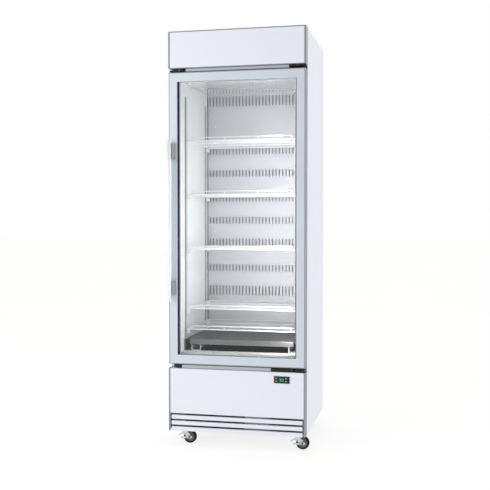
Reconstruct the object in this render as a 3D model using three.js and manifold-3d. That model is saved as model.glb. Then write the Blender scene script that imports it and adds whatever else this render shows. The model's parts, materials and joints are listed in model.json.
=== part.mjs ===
// Upright single-door glass-front refrigerator with a sign box, on four swivel castors.
// Millimetres, +Z up. The door faces -Y, and the origin is on the floor under the middle of the cabinet.
import * as THREE from 'three';
import { mergeVertices } from 'three/addons/utils/BufferGeometryUtils.js';
import Module from 'manifold-3d';

const wasm = await Module();
wasm.setup();

// ---- driving dimensions ----
const CABINET_WIDTH = 735;
const FACE_Y = -326; // front of the sign, the door and the lower panel
const CARCASS_Y = -268; // front edge of the insulated walls
const REAR_Y = 375;
const BASE_Z = 85; // underside of the cabinet
const TOP_Z = 2200;
const WALL = 50; // insulated wall
const SKIN = 1.5; // plain sheet where a wall isn't insulated
const FACING = 1.2; // sheet on each face of an insulated wall, with the foam left out
const COMPARTMENT_FLOOR_Z = 498;
const FLOOR_THICKNESS = 60;
const CEILING_Z = 1950;
const ROOF_THICKNESS = 70;
const DOOR_BOTTOM_Z = 442;
const DOOR_TOP_Z = 1984;
const DOOR_SIDE_GAP = 3; // the door is this much narrower than the cabinet on each side
const DOOR_DEPTH = 44;
const STILE = 46; // width of the door frame's uprights
const RAIL_BOTTOM = 50;
const RAIL_TOP = 48;
const PANEL_TOP_Z = 419; // top of the lower front panel
const SIGN_BOTTOM_Z = 2005;
const HINGE_X = 345;
const HINGE_Y = -300;
const SHELF_LEVELS = [1635, 1345, 1049, 727, 614];
const CASTOR_X = 308;
const CASTOR_FRONT_Y = -230;
const CASTOR_REAR_Y = 300;
const WHEEL_RADIUS = 35;
const CASTOR_TRAIL = 32; // wheel centre behind the swivel axis
const CLEARANCE = 0.4; // between pieces that rest on each other

// ---- worked out from them ----
const HALF_WIDTH = CABINET_WIDTH / 2;
const INNER_X = HALF_WIDTH - WALL;
const DOOR_X = HALF_WIDTH - DOOR_SIDE_GAP;
const DOOR_BACK_Y = FACE_Y + DOOR_DEPTH;
const OPENING_X = DOOR_X - STILE;
const OPENING_BOTTOM_Z = DOOR_BOTTOM_Z + RAIL_BOTTOM;
const OPENING_TOP_Z = DOOR_TOP_Z - RAIL_TOP;
const REAR_WALL_Y = REAR_Y - WALL;
const FLOOR_UNDER_Z = COMPARTMENT_FLOOR_Z - FLOOR_THICKNESS;

const fridge = new THREE.Group();

// ---- solids ----
function solidOf(geometry) {
  const bare = geometry.clone();
  bare.deleteAttribute('normal');
  bare.deleteAttribute('uv');
  const merged = mergeVertices(bare);
  return new wasm.Manifold(new wasm.Mesh({
    numProp: 3,
    vertProperties: new Float32Array(merged.attributes.position.array),
    triVerts: new Uint32Array(merged.index.array),
  }));
}

function geometryOf(solid) {
  const mesh = solid.getMesh();
  const geometry = new THREE.BufferGeometry();
  geometry.setAttribute('position', new THREE.BufferAttribute(mesh.vertProperties, 3));
  geometry.setIndex(new THREE.BufferAttribute(mesh.triVerts, 1));
  return geometry;
}

function joined(...pieces) {
  const [first, ...others] = pieces.map(solidOf);
  return geometryOf(others.reduce((sum, piece) => sum.add(piece), first));
}

function cut(body, ...tools) {
  return geometryOf(tools.map(solidOf).reduce((left, tool) => left.subtract(tool), solidOf(body)));
}

function block(x0, x1, y0, y1, z0, z1) {
  const geometry = new THREE.BoxGeometry(x1 - x0, y1 - y0, z1 - z0);
  return geometry.translate((x0 + x1) / 2, (y0 + y1) / 2, (z0 + z1) / 2);
}

function slab(halfWidth, y0, y1, z0, z1) {
  return block(-halfWidth, halfWidth, y0, y1, z0, z1);
}

// A round bar along Y from y0 to y1.
function rodY(x, z, radius, y0, y1, sides = 24) {
  const geometry = new THREE.CylinderGeometry(radius, radius, y1 - y0, sides);
  return geometry.translate(x, (y0 + y1) / 2, z);
}

function rodX(y, z, radius, x0, x1, sides = 24) {
  const geometry = new THREE.CylinderGeometry(radius, radius, x1 - x0, sides);
  return geometry.rotateZ(Math.PI / 2).translate((x0 + x1) / 2, y, z);
}

function rodZ(x, y, radius, z0, z1, sides = 24) {
  const geometry = new THREE.CylinderGeometry(radius, radius, z1 - z0, sides);
  return geometry.rotateX(Math.PI / 2).translate(x, y, (z0 + z1) / 2);
}

function outline(points) {
  return new THREE.Shape(points.map(([u, v]) => new THREE.Vector2(u, v)));
}

// A plate whose outline is drawn in X and Z, from y0 to y1.
function plateXZ(points, y0, y1) {
  const options = { depth: y1 - y0, bevelEnabled: false, curveSegments: 8 };
  const geometry = new THREE.ExtrudeGeometry(outline(points), options);
  return geometry.rotateX(Math.PI / 2).translate(0, y1, 0);
}

// A bar whose section is drawn in X and Y, from z0 to z1.
function barXY(points, z0, z1) {
  const options = { depth: z1 - z0, bevelEnabled: false };
  return new THREE.ExtrudeGeometry(outline(points), options).translate(0, 0, z0);
}

function turned(profile, sides) {
  const points = profile.map(([radius, height]) => new THREE.Vector2(radius, height));
  return new THREE.LatheGeometry(points, sides);
}

function finish(color, roughness, metalness = 0) {
  return { color, roughness, metalness };
}

const WHITE_STEEL = finish(0xeef0f4, 0.35);
const LINER_WHITE = finish(0xe8eaec, 0.3);
const SILVER = finish(0xcdd5de, 0.35, 0.6);
const GREY_TRIM = finish(0x9aa0a8, 0.4, 0.4);
const BLACK_PLASTIC = finish(0x17181b, 0.5);
const RUBBER = finish(0x202124, 0.8);
const GLASS = finish(0xdfe9ec, 0.05);
const WIRE_WHITE = finish(0xf4f5f6, 0.4);
const STAINLESS = finish(0x6e7073, 0.35, 0.9);
const ZINC = finish(0xb9bcc0, 0.35, 0.9);
const ALUMINIUM = finish(0xc4c8cc, 0.4, 0.9);
const COMPRESSOR_BLACK = finish(0x1c1d1f, 0.45, 0.2);

function part(name, geometry, look, parent = fridge) {
  const mesh = new THREE.Mesh(geometry, new THREE.MeshStandardMaterial(look));
  mesh.name = name;
  parent.add(mesh);
  return mesh;
}

// ---- insulated carcass ----
// Each insulated wall is drawn as its facings, open on a face that its neighbour covers.
const WALL_TOP_Z = TOP_Z - 2.4;
const BETWEEN_WALLS = INNER_X - CLEARANCE;
const BETWEEN_SKINS = HALF_WIDTH - SKIN - CLEARANCE;

// A side wall is insulated beside the compartment and plain sheet beside the machine space.
function sideWall(side) {
  const outer = side * HALF_WIDTH;
  const inner = side * INNER_X;
  const sheet = side * (HALF_WIDTH - SKIN);
  const section = [
    [outer, BASE_Z], [sheet, BASE_Z], [sheet, FLOOR_UNDER_Z],
    [inner, FLOOR_UNDER_Z], [inner, WALL_TOP_Z], [outer, WALL_TOP_Z],
  ];
  const faces = [outer - side * FACING, inner + side * FACING].sort((a, b) => a - b);
  const foam = block(...faces, CARCASS_Y + FACING, REAR_Y - FACING, FLOOR_UNDER_Z + FACING, TOP_Z);
  return cut(plateXZ(section, CARCASS_Y, REAR_Y), foam);
}
part('wall_left', sideWall(-1), WHITE_STEEL);
part('wall_right', sideWall(1), WHITE_STEEL);

part('rear_wall', cut(
  slab(BETWEEN_WALLS, REAR_WALL_Y, REAR_Y, FLOOR_UNDER_Z, WALL_TOP_Z),
  slab(BETWEEN_WALLS - FACING, REAR_WALL_Y + FACING, REAR_Y - FACING, FLOOR_UNDER_Z + FACING, TOP_Z),
), WHITE_STEEL);

// The foam of the roof and the floor, open towards the rear wall.
const ROOF_REAR_Y = REAR_WALL_Y - CLEARANCE;
function foamUnder(topZ, thickness) {
  return slab(
    BETWEEN_WALLS - FACING, CARCASS_Y + FACING, REAR_WALL_Y, topZ - thickness + FACING, topZ - FACING,
  );
}

// The roof carries the top sheet on two webs, with a wiring space between.
const ROOF_TOP_Z = CEILING_Z + ROOF_THICKNESS;
const WEB_INSIDE = BETWEEN_WALLS - SKIN;
part('roof', joined(
  cut(
    slab(BETWEEN_WALLS, CARCASS_Y, ROOF_REAR_Y, CEILING_Z, ROOF_TOP_Z),
    foamUnder(ROOF_TOP_Z, ROOF_THICKNESS),
  ),
  block(-BETWEEN_WALLS, -WEB_INSIDE, CARCASS_Y, ROOF_REAR_Y, ROOF_TOP_Z - 1, TOP_Z - 1),
  block(WEB_INSIDE, BETWEEN_WALLS, CARCASS_Y, ROOF_REAR_Y, ROOF_TOP_Z - 1, TOP_Z - 1),
  slab(HALF_WIDTH, CARCASS_Y, REAR_Y, TOP_Z - 2, TOP_Z),
), WHITE_STEEL);

// The floor has a front rail that closes the gap under the door.
const RAIL_LOW_Z = 400;
const RAIL_DEPTH = 20;
part('floor', joined(
  cut(
    slab(BETWEEN_WALLS, CARCASS_Y, ROOF_REAR_Y, FLOOR_UNDER_Z, COMPARTMENT_FLOOR_Z),
    foamUnder(COMPARTMENT_FLOOR_Z, FLOOR_THICKNESS),
  ),
  slab(BETWEEN_WALLS, CARCASS_Y, CARCASS_Y + RAIL_DEPTH, RAIL_LOW_Z, FLOOR_UNDER_Z + 1),
  slab(BETWEEN_SKINS, CARCASS_Y, CARCASS_Y + RAIL_DEPTH, RAIL_LOW_Z, FLOOR_UNDER_Z - CLEARANCE),
), LINER_WHITE);

// ---- sign ----
const BEFORE_CARCASS_Y = CARCASS_Y - CLEARANCE;
const SIGN_TRIM = 9;
const SIGN_X = HALF_WIDTH - SIGN_TRIM;
part('sign_box', cut(
  slab(HALF_WIDTH, FACE_Y, BEFORE_CARCASS_Y, SIGN_BOTTOM_Z, TOP_Z),
  slab(SIGN_X, FACE_Y - 1, BEFORE_CARCASS_Y - SKIN, SIGN_BOTTOM_Z + 3, TOP_Z - 5),
), GREY_TRIM);
part('sign_panel', slab(
  SIGN_X - CLEARANCE, FACE_Y + 0.4, FACE_Y + 4, SIGN_BOTTOM_Z + 3.4, TOP_Z - 5.4,
), WHITE_STEEL);

// ---- door ----
function ring(outerX, outerLow, outerHigh, innerX, innerLow, innerHigh, y0, y1) {
  return cut(
    slab(outerX, y0, y1, outerLow, outerHigh),
    slab(innerX, y0 - 1, y1 + 1, innerLow, innerHigh),
  );
}

const GLASS_COVER = 5.5; // how far the panes run into the frame
const GLASS_FRONT_Y = FACE_Y + 7.4;
const PANE = 4;
const SPACER_DEPTH = 13.8;
const GLASS_X = OPENING_X + GLASS_COVER;
const GLASS_LOW_Z = OPENING_BOTTOM_Z - GLASS_COVER;
const GLASS_HIGH_Z = OPENING_TOP_Z + GLASS_COVER;
const SPACER_Y = GLASS_FRONT_Y + PANE + CLEARANCE;
const INNER_PANE_Y = SPACER_Y + SPACER_DEPTH + CLEARANCE;
const PIN_RADIUS = 5;
const PIN_BORE = 5.6;
const PIN_DEPTH = 18; // how far a hinge pin runs into the door
const LOCK_X = -308;
const LOCK_Z = 1996;
const CAM_REACH = 20;
const CAM_Y = -298.4;
const CAM_THICKNESS = 3.4;
part('door_frame', cut(
  ring(
    DOOR_X, DOOR_BOTTOM_Z, DOOR_TOP_Z, OPENING_X, OPENING_BOTTOM_Z, OPENING_TOP_Z, FACE_Y, DOOR_BACK_Y,
  ),
  slab(
    GLASS_X + CLEARANCE, GLASS_FRONT_Y - CLEARANCE, INNER_PANE_Y + PANE + CLEARANCE,
    GLASS_LOW_Z - CLEARANCE, GLASS_HIGH_Z + CLEARANCE,
  ),
  rodZ(HINGE_X, HINGE_Y, PIN_BORE, DOOR_BOTTOM_Z - 1, DOOR_BOTTOM_Z + PIN_DEPTH + 2),
  rodZ(HINGE_X, HINGE_Y, PIN_BORE, DOOR_TOP_Z - PIN_DEPTH - 2, DOOR_TOP_Z + 1),
  block(
    LOCK_X - 19, LOCK_X + 6, CAM_Y - 1.5, CAM_Y + CAM_THICKNESS + 1.5, LOCK_Z - CAM_REACH - 3, DOOR_TOP_Z + 1,
  ),
), SILVER);
function pane(y) {
  return slab(GLASS_X, y, y + PANE, GLASS_LOW_Z, GLASS_HIGH_Z);
}
part('glass_outer', pane(GLASS_FRONT_Y), GLASS);
part('glass_inner', pane(INNER_PANE_Y), GLASS);
part('glass_spacer', ring(
  GLASS_X - 2, GLASS_LOW_Z + 1, GLASS_HIGH_Z - 1, OPENING_X - 5.5, OPENING_BOTTOM_Z - 1, OPENING_TOP_Z + 1,
  SPACER_Y, SPACER_Y + SPACER_DEPTH,
), BLACK_PLASTIC);

const GASKET_X = 350;
const GASKET_WIDTH = 20;
part('door_gasket', ring(
  GASKET_X, DOOR_BOTTOM_Z + 12, DOOR_TOP_Z - 10,
  GASKET_X - GASKET_WIDTH, DOOR_BOTTOM_Z + 12 + GASKET_WIDTH, DOOR_TOP_Z - 10 - GASKET_WIDTH,
  DOOR_BACK_Y + CLEARANCE, CARCASS_Y - 1,
), RUBBER);

const HANDLE_X = -353.5;
const HANDLE_RADIUS = 12.5;
const HANDLE_Y = FACE_Y - 36;
part('handle_tube', rodZ(HANDLE_X, HANDLE_Y, HANDLE_RADIUS, 777, 1627), ALUMINIUM);
function handleBracket(low, high) {
  return cut(
    block(HANDLE_X - 5, HANDLE_X + 26, HANDLE_Y + 2, FACE_Y - CLEARANCE, low, high),
    rodZ(HANDLE_X, HANDLE_Y, HANDLE_RADIUS + CLEARANCE, low - 1, high + 1),
  );
}
part('handle_bracket_upper', handleBracket(1528, 1608), GREY_TRIM);
part('handle_bracket_lower', handleBracket(810, 886), GREY_TRIM);

// ---- hinges, closer, switch and lock, in the gaps above and below the door ----
part('top_hinge', joined(
  block(280, 366, FACE_Y + 4, BEFORE_CARCASS_Y, 1995, SIGN_BOTTOM_Z - CLEARANCE),
  block(280, 366, BEFORE_CARCASS_Y - 4, BEFORE_CARCASS_Y, 1988, 1996),
  rodZ(HINGE_X, HINGE_Y, PIN_RADIUS, DOOR_TOP_Z - PIN_DEPTH, 1996),
), BLACK_PLASTIC);
part('bottom_hinge', joined(
  block(312, 362, FACE_Y + 4, BEFORE_CARCASS_Y, 421, 438),
  rodZ(HINGE_X, HINGE_Y, PIN_RADIUS, 437, DOOR_BOTTOM_Z + PIN_DEPTH),
), BLACK_PLASTIC);
part('door_closer', block(188, 306, FACE_Y + 8, BEFORE_CARCASS_Y, 422, 438), BLACK_PLASTIC);
part('door_switch', block(-340, -302, FACE_Y + 8, BEFORE_CARCASS_Y, 424, 439), BLACK_PLASTIC);

const LOCK_FRONT_Y = FACE_Y + 6;
const BARREL_RADIUS = 6;
part('lock_housing', cut(
  joined(
    block(-361, -333, LOCK_FRONT_Y, BEFORE_CARCASS_Y, 1988, 1996),
    plateXZ([
      [-334, 1988], [-286, 1988], [-286, 1996], [-292, 2002], [-300, 2004.5], [-316, 2004.5], [-325, 2002],
      [-334, 1996],
    ], LOCK_FRONT_Y, CAM_Y - 0.4),
  ),
  rodY(LOCK_X, LOCK_Z, BARREL_RADIUS + 0.5, LOCK_FRONT_Y - 1, CAM_Y + 1),
), BLACK_PLASTIC);
part('lock_barrel', cut(
  joined(
    rodY(LOCK_X, LOCK_Z, BARREL_RADIUS, LOCK_FRONT_Y - 3, CAM_Y + 1),
    block(LOCK_X - CAM_REACH, LOCK_X + 4, CAM_Y, CAM_Y + CAM_THICKNESS, LOCK_Z - 4, LOCK_Z + 4),
  ),
  block(LOCK_X - 4, LOCK_X + 4, LOCK_FRONT_Y - 4, LOCK_FRONT_Y + 4, LOCK_Z - 0.8, LOCK_Z + 0.8),
), ZINC);

// ---- inside the compartment ----
const SHELF_X = 302;
const SHELF_FRONT_Y = -206;
const SHELF_REAR_Y = 274;
const SHELF_BAR = 6;
const SHELF_WIRE = 5;
const WIRE_SPACES = 10;
const FENCE_HEIGHT = 18;
const FENCE_X = 275;
const FENCE_TIE_X = 92;

// A shelf is a grid of wires, with a low fence along its front.
function shelfGrid() {
  const pitch = (2 * SHELF_X - SHELF_BAR) / WIRE_SPACES;
  const middle = (SHELF_FRONT_Y + SHELF_REAR_Y) / 2;
  const half = SHELF_BAR / 2;
  const spaces = [];
  for (const [low, high] of [[SHELF_FRONT_Y, middle], [middle, SHELF_REAR_Y]]) {
    for (let i = 0; i < WIRE_SPACES; i += 1) {
      const left = -SHELF_X + half + i * pitch + SHELF_WIRE / 2;
      const right = left + pitch - SHELF_WIRE;
      spaces.push(block(left, right, low + SHELF_BAR, high - SHELF_BAR, -half - 1, half + 1));
    }
  }
  const grid = cut(slab(SHELF_X, SHELF_FRONT_Y, SHELF_REAR_Y, -half, half), ...spaces);
  const fenceRear = SHELF_FRONT_Y + SHELF_WIRE;
  const rail = slab(FENCE_X, SHELF_FRONT_Y, fenceRear, FENCE_HEIGHT - 2.5, FENCE_HEIGHT + 2.5);
  const ties = [-FENCE_X + 2.5, -FENCE_TIE_X, FENCE_TIE_X, FENCE_X - 2.5].map(
    (x) => block(x - 2.5, x + 2.5, SHELF_FRONT_Y, fenceRear, 0, FENCE_HEIGHT),
  );
  return joined(grid, rail, ...ties);
}
SHELF_LEVELS.forEach((level, i) => {
  part(`shelf_${i + 1}`, shelfGrid(), WIRE_WHITE).position.z = level;
});

// A pilaster is a slotted strip on a side wall, and each shelf rests on a clip hooked into it.
const PILASTER_WIDTH = 24;
const PILASTER_THICKNESS = 9;
const CLIP_REACH = 17;
function pilaster(side, y) {
  const back = side * BETWEEN_WALLS;
  const front = back - side * PILASTER_THICKNESS;
  const tip = front - side * CLIP_REACH;
  const across = (a, b) => [Math.min(a, b), Math.max(a, b)];
  const strip = block(...across(back, front), y - PILASTER_WIDTH / 2, y + PILASTER_WIDTH / 2, 566, 1876);
  const clips = SHELF_LEVELS.map((level) => {
    const rest = level - SHELF_BAR / 2 - CLEARANCE;
    return block(...across(front + side, tip), y - 8, y + 8, rest - 22, rest);
  });
  return joined(strip, ...clips);
}
const PILASTER_FRONT_Y = -175;
const PILASTER_REAR_Y = 238;
part('pilaster_front_left', pilaster(-1, PILASTER_FRONT_Y), LINER_WHITE);
part('pilaster_front_right', pilaster(1, PILASTER_FRONT_Y), LINER_WHITE);
part('pilaster_rear_left', pilaster(-1, PILASTER_REAR_Y), LINER_WHITE);
part('pilaster_rear_right', pilaster(1, PILASTER_REAR_Y), LINER_WHITE);

// The air rises between the duct panel and the rear wall.
const DUCT_Y = 286;
const DUCT_LOW_Z = 566;
const DUCT_HIGH_Z = CEILING_Z - CLEARANCE;
part('duct_panel', joined(
  slab(BETWEEN_WALLS, DUCT_Y, DUCT_Y + 2, DUCT_LOW_Z, DUCT_HIGH_Z),
  block(-BETWEEN_WALLS, -BETWEEN_WALLS + 2, DUCT_Y, ROOF_REAR_Y, DUCT_LOW_Z, DUCT_HIGH_Z),
  block(BETWEEN_WALLS - 2, BETWEEN_WALLS, DUCT_Y, ROOF_REAR_Y, DUCT_LOW_Z, DUCT_HIGH_Z),
), LINER_WHITE);

const LAMP_FRONT_Y = -266;
part('lamp_strip', barXY([
  [BETWEEN_WALLS, LAMP_FRONT_Y], [BETWEEN_WALLS, LAMP_FRONT_Y + 30], [311, LAMP_FRONT_Y + 30],
  [303, LAMP_FRONT_Y + 12], [303, LAMP_FRONT_Y],
], 556, 1873), GREY_TRIM);

const TRAY_X = 311;
const TRAY_TOP_Z = 561;
const TRAY_SHEET = 2.5;
const TRAY_REAR_Y = 280;
const TRAY_LIP = 28;
const TRAY_LIP_X = 285;
const RUNNER_FLOOR_Z = COMPARTMENT_FLOOR_Z + CLEARANCE;
part('floor_tray', joined(
  slab(TRAY_X, SHELF_FRONT_Y, TRAY_REAR_Y, TRAY_TOP_Z - TRAY_SHEET, TRAY_TOP_Z),
  slab(TRAY_LIP_X, SHELF_FRONT_Y, SHELF_FRONT_Y + TRAY_SHEET, TRAY_TOP_Z - TRAY_LIP, TRAY_TOP_Z),
  block(-TRAY_X, -TRAY_X + TRAY_SHEET, SHELF_FRONT_Y, TRAY_REAR_Y, RUNNER_FLOOR_Z, TRAY_TOP_Z),
  block(TRAY_X - TRAY_SHEET, TRAY_X, SHELF_FRONT_Y, TRAY_REAR_Y, RUNNER_FLOOR_Z, TRAY_TOP_Z),
), STAINLESS);

// A runner is a channel, open upwards, that holds the tray off the floor.
function runner(x0, x1) {
  const top = TRAY_TOP_Z - TRAY_SHEET - CLEARANCE;
  return cut(
    block(x0, x1, -200, 100, RUNNER_FLOOR_Z, top),
    block(x0 + 2.5, x1 - 2.5, -201, 101, RUNNER_FLOOR_Z + 2.5, top + 1),
  );
}
part('tray_runner_left', runner(-278, -227), LINER_WHITE);
part('tray_runner_right', runner(257, 307), LINER_WHITE);

// The evaporator lies under the tray, and its end plates carry the blower behind it.
const COIL_LEFT = -215;
const COIL_RIGHT = 245;
const BLOWER_Y = 225;
const BLOWER_Z = 528;
const FIN_COUNT = 20;
function finnedEdge(left, right, front, root, back) {
  const pitch = (right - left) / FIN_COUNT;
  const points = [[left, back], [left, front]];
  for (let i = 0; i < FIN_COUNT - 1; i += 1) {
    const step = left + (i + 0.5) * pitch;
    points.push([step, front], [step, root], [step + pitch / 2, root], [step + pitch / 2, front]);
  }
  points.push([right, front], [right, back]);
  return points;
}
part('evaporator_coil', cut(
  joined(
    barXY(finnedEdge(COIL_LEFT, COIL_RIGHT, -60, -48, 150), 500, 552),
    block(COIL_LEFT, COIL_LEFT + 3, 149, 255, 500, 552),
    block(COIL_RIGHT - 3, COIL_RIGHT, 149, 255, 500, 552),
  ),
  rodX(BLOWER_Y, BLOWER_Z, 4, COIL_LEFT - 1, COIL_LEFT + 5),
  rodX(BLOWER_Y, BLOWER_Z, 4, COIL_RIGHT - 5, COIL_RIGHT + 1),
), ALUMINIUM);

// The blower's rotor is a long drum with a ring of blades, drawn as flutes.
const FLUTES = 12;
function blowerRotor() {
  const star = [];
  for (let i = 0; i < FLUTES; i += 1) {
    for (const [radius, share] of [[21, 0], [21, 0.4], [15, 0.5], [15, 0.9]]) {
      const angle = ((i + share) / FLUTES) * 2 * Math.PI;
      star.push([radius * Math.cos(angle), radius * Math.sin(angle)]);
    }
  }
  const length = COIL_RIGHT - COIL_LEFT - 20;
  const drum = barXY(star, -length / 2, length / 2);
  drum.rotateY(Math.PI / 2);
  drum.translate((COIL_LEFT + COIL_RIGHT) / 2, BLOWER_Y, BLOWER_Z);
  return joined(drum, rodX(BLOWER_Y, BLOWER_Z, 3.4, COIL_LEFT - 4, COIL_RIGHT + 4, 16));
}
part('evaporator_blower', blowerRotor(), BLACK_PLASTIC);

// ---- machine space ----
const CHASSIS_SHEET = 2.5;
const CASTOR_PLATE = 32; // half the width of a castor's square plate
const chassisPieces = [
  slab(BETWEEN_SKINS, CARCASS_Y + 4, REAR_Y - 8, BASE_Z, BASE_Z + CHASSIS_SHEET),
  block(-BETWEEN_SKINS, -BETWEEN_SKINS + CHASSIS_SHEET, CARCASS_Y + 4, REAR_Y - 8, BASE_Z, BASE_Z + 40),
  block(BETWEEN_SKINS - CHASSIS_SHEET, BETWEEN_SKINS, CARCASS_Y + 4, REAR_Y - 8, BASE_Z, BASE_Z + 40),
];
for (const x of [-CASTOR_X, CASTOR_X]) {
  for (const y of [CASTOR_FRONT_Y, CASTOR_REAR_Y]) {
    chassisPieces.push(
      block(x - CASTOR_PLATE, x + CASTOR_PLATE, y - CASTOR_PLATE, y + CASTOR_PLATE, BASE_Z - 3, BASE_Z + 1),
    );
  }
}
part('base_chassis', joined(...chassisPieces), ZINC);

const LOUVRE_HEIGHTS = [174, 143, 112];
const CONTROLLER_X = 244;
const CONTROLLER_Z = 380;
const PANEL_SHEET = 2.5;
part('lower_panel', cut(
  joined(
    slab(HALF_WIDTH, FACE_Y, FACE_Y + PANEL_SHEET, BASE_Z, PANEL_TOP_Z),
    block(-HALF_WIDTH, -HALF_WIDTH + PANEL_SHEET, FACE_Y, BEFORE_CARCASS_Y, BASE_Z, PANEL_TOP_Z),
    block(HALF_WIDTH - PANEL_SHEET, HALF_WIDTH, FACE_Y, BEFORE_CARCASS_Y, BASE_Z, PANEL_TOP_Z),
    slab(HALF_WIDTH, FACE_Y, FACE_Y + 36, PANEL_TOP_Z - PANEL_SHEET, PANEL_TOP_Z),
    slab(HALF_WIDTH, FACE_Y, BEFORE_CARCASS_Y, BASE_Z, BASE_Z + PANEL_SHEET),
  ),
  ...LOUVRE_HEIGHTS.map((z) => slab(352, FACE_Y - 1, FACE_Y + PANEL_SHEET + 1, z - 4.5, z + 4.5)),
  block(CONTROLLER_X - 36, CONTROLLER_X + 36, FACE_Y - 1, FACE_Y + 5, CONTROLLER_Z - 15, CONTROLLER_Z + 15),
), WHITE_STEEL);

// The controller's bezel stands on the panel's face, and its body passes through the panel.
const BEZEL_FRONT_Y = FACE_Y - 3.4;
const BUTTON_X = [-29, 22];
const BUTTON_Z = [7.5, -7.5];
const BUTTON_WIDTH = 9;
const BUTTON_HEIGHT = 7;
const buttonPlaces = [];
for (const dx of BUTTON_X) {
  for (const dz of BUTTON_Z) {
    buttonPlaces.push([CONTROLLER_X + dx, CONTROLLER_Z + dz]);
  }
}
function buttonBlock(x, z, y0, y1, play) {
  const halfWidth = BUTTON_WIDTH / 2 + play;
  const halfHeight = BUTTON_HEIGHT / 2 + play;
  return block(x - halfWidth, x + halfWidth, y0, y1, z - halfHeight, z + halfHeight);
}
part('controller', cut(
  joined(
    block(
      CONTROLLER_X - 41, CONTROLLER_X + 41, BEZEL_FRONT_Y, FACE_Y - CLEARANCE, CONTROLLER_Z - 18,
      CONTROLLER_Z + 18,
    ),
    block(
      CONTROLLER_X - 35.5, CONTROLLER_X + 35.5, FACE_Y - 1, FACE_Y + 60, CONTROLLER_Z - 14.5,
      CONTROLLER_Z + 14.5,
    ),
  ),
  ...buttonPlaces.map(([x, z]) => buttonBlock(x, z, BEZEL_FRONT_Y - 1, BEZEL_FRONT_Y + 2.6, 0.4)),
), BLACK_PLASTIC);
['power', 'set', 'up', 'down'].forEach((use, i) => {
  const [x, z] = buttonPlaces[i];
  part(`button_${use}`, buttonBlock(x, z, BEZEL_FRONT_Y - 0.9, BEZEL_FRONT_Y + 1.6, 0), GREY_TRIM);
});

const ON_CHASSIS_Z = BASE_Z + CHASSIS_SHEET + CLEARANCE;
const compressorShell = turned([
  [0, 0], [70, 0], [86, 18], [90, 60], [90, 110], [84, 145], [62, 168], [0, 178],
], 28);
compressorShell.rotateX(Math.PI / 2);
compressorShell.translate(175, 175, ON_CHASSIS_Z + 10);
part('compressor', joined(
  compressorShell,
  block(65, 285, 85, 265, ON_CHASSIS_Z + 6, ON_CHASSIS_Z + 12),
  ...[[80, 100], [270, 100], [80, 250], [270, 250]].map(
    ([x, y]) => rodZ(x, y, 12, ON_CHASSIS_Z, ON_CHASSIS_Z + 8, 16),
  ),
), COMPRESSOR_BLACK);

const FAN_X = -140;
const FAN_Z = 232;
const FAN_BLADES = 5;
const FAN_RADIUS = 105;
part('condenser_coil', barXY(
  finnedEdge(-310, 30, -240, -228, -192), ON_CHASSIS_Z, 372,
), ALUMINIUM);
function fanBlades() {
  const hub = rodY(0, 0, 20, -12, 12);
  const blades = Array.from({ length: FAN_BLADES }, (_, i) => {
    const blade = new THREE.BoxGeometry(FAN_RADIUS - 15, 3, 52);
    blade.translate((FAN_RADIUS + 15) / 2, 0, 0);
    blade.rotateX(0.5);
    return blade.rotateY((i / FAN_BLADES) * 2 * Math.PI);
  });
  return cut(joined(hub, ...blades), rodY(0, 0, 5, -13, 13));
}
part('condenser_fan', fanBlades(), BLACK_PLASTIC).position.set(FAN_X, -160, FAN_Z);
part('condenser_motor', joined(
  rodY(FAN_X, FAN_Z, 42, -138, -60),
  rodY(FAN_X, FAN_Z, 4, -170, -100, 16),
  block(FAN_X - 15, FAN_X + 15, -110, -90, ON_CHASSIS_Z, FAN_Z),
  block(FAN_X - 40, FAN_X + 40, -130, -70, ON_CHASSIS_Z, ON_CHASSIS_Z + 3),
), COMPRESSOR_BLACK);

const GRILLE_Y = REAR_Y - 6;
const INLET_X = -280;
const INLET_Z = 380;
part('rear_grille', cut(
  slab(BETWEEN_SKINS, GRILLE_Y, GRILLE_Y + 2.5, BASE_Z + 3, FLOOR_UNDER_Z - 6),
  ...[0, 1, 2, 3, 4, 5, 6].map((i) => slab(250, GRILLE_Y - 1, GRILLE_Y + 4, 130 + i * 32, 142 + i * 32)),
  block(INLET_X - 14.4, INLET_X + 14.4, GRILLE_Y - 1, GRILLE_Y + 4, INLET_Z - 10.4, INLET_Z + 10.4),
), ZINC);
part('power_inlet', cut(
  joined(
    block(INLET_X - 25, INLET_X + 25, GRILLE_Y + 2.9, GRILLE_Y + 5.4, INLET_Z - 15, INLET_Z + 15),
    block(INLET_X - 14, INLET_X + 14, GRILLE_Y - 24, GRILLE_Y + 4, INLET_Z - 10, INLET_Z + 10),
  ),
  block(INLET_X - 11.5, INLET_X + 11.5, GRILLE_Y - 14, GRILLE_Y + 7, INLET_Z - 7.5, INLET_Z + 7.5),
), BLACK_PLASTIC);

// ---- castors ----
const AXLE_RADIUS = 4;
const PEDAL_X = -3;
const PEDAL_Z = 54;
const WHEEL_SIDES = 32;
function forkSolid() {
  const leg = [
    [-9, 74], [-9, 49], [2, 47], [25, 27], [32, 24.5], [40, 28], [42.5, 36], [36, 48], [22, 61], [18, 74],
  ];
  return joined(
    rodZ(0, 0, 22, 70, BASE_Z - 3 - CLEARANCE),
    plateXZ(leg, 12.5, 15.5),
    plateXZ(leg, -15.5, -12.5),
    rodY(CASTOR_TRAIL, WHEEL_RADIUS, AXLE_RADIUS, -17.5, 17.5, 16),
    rodY(PEDAL_X, PEDAL_Z, 2, -14, 14, 12),
  );
}

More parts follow.
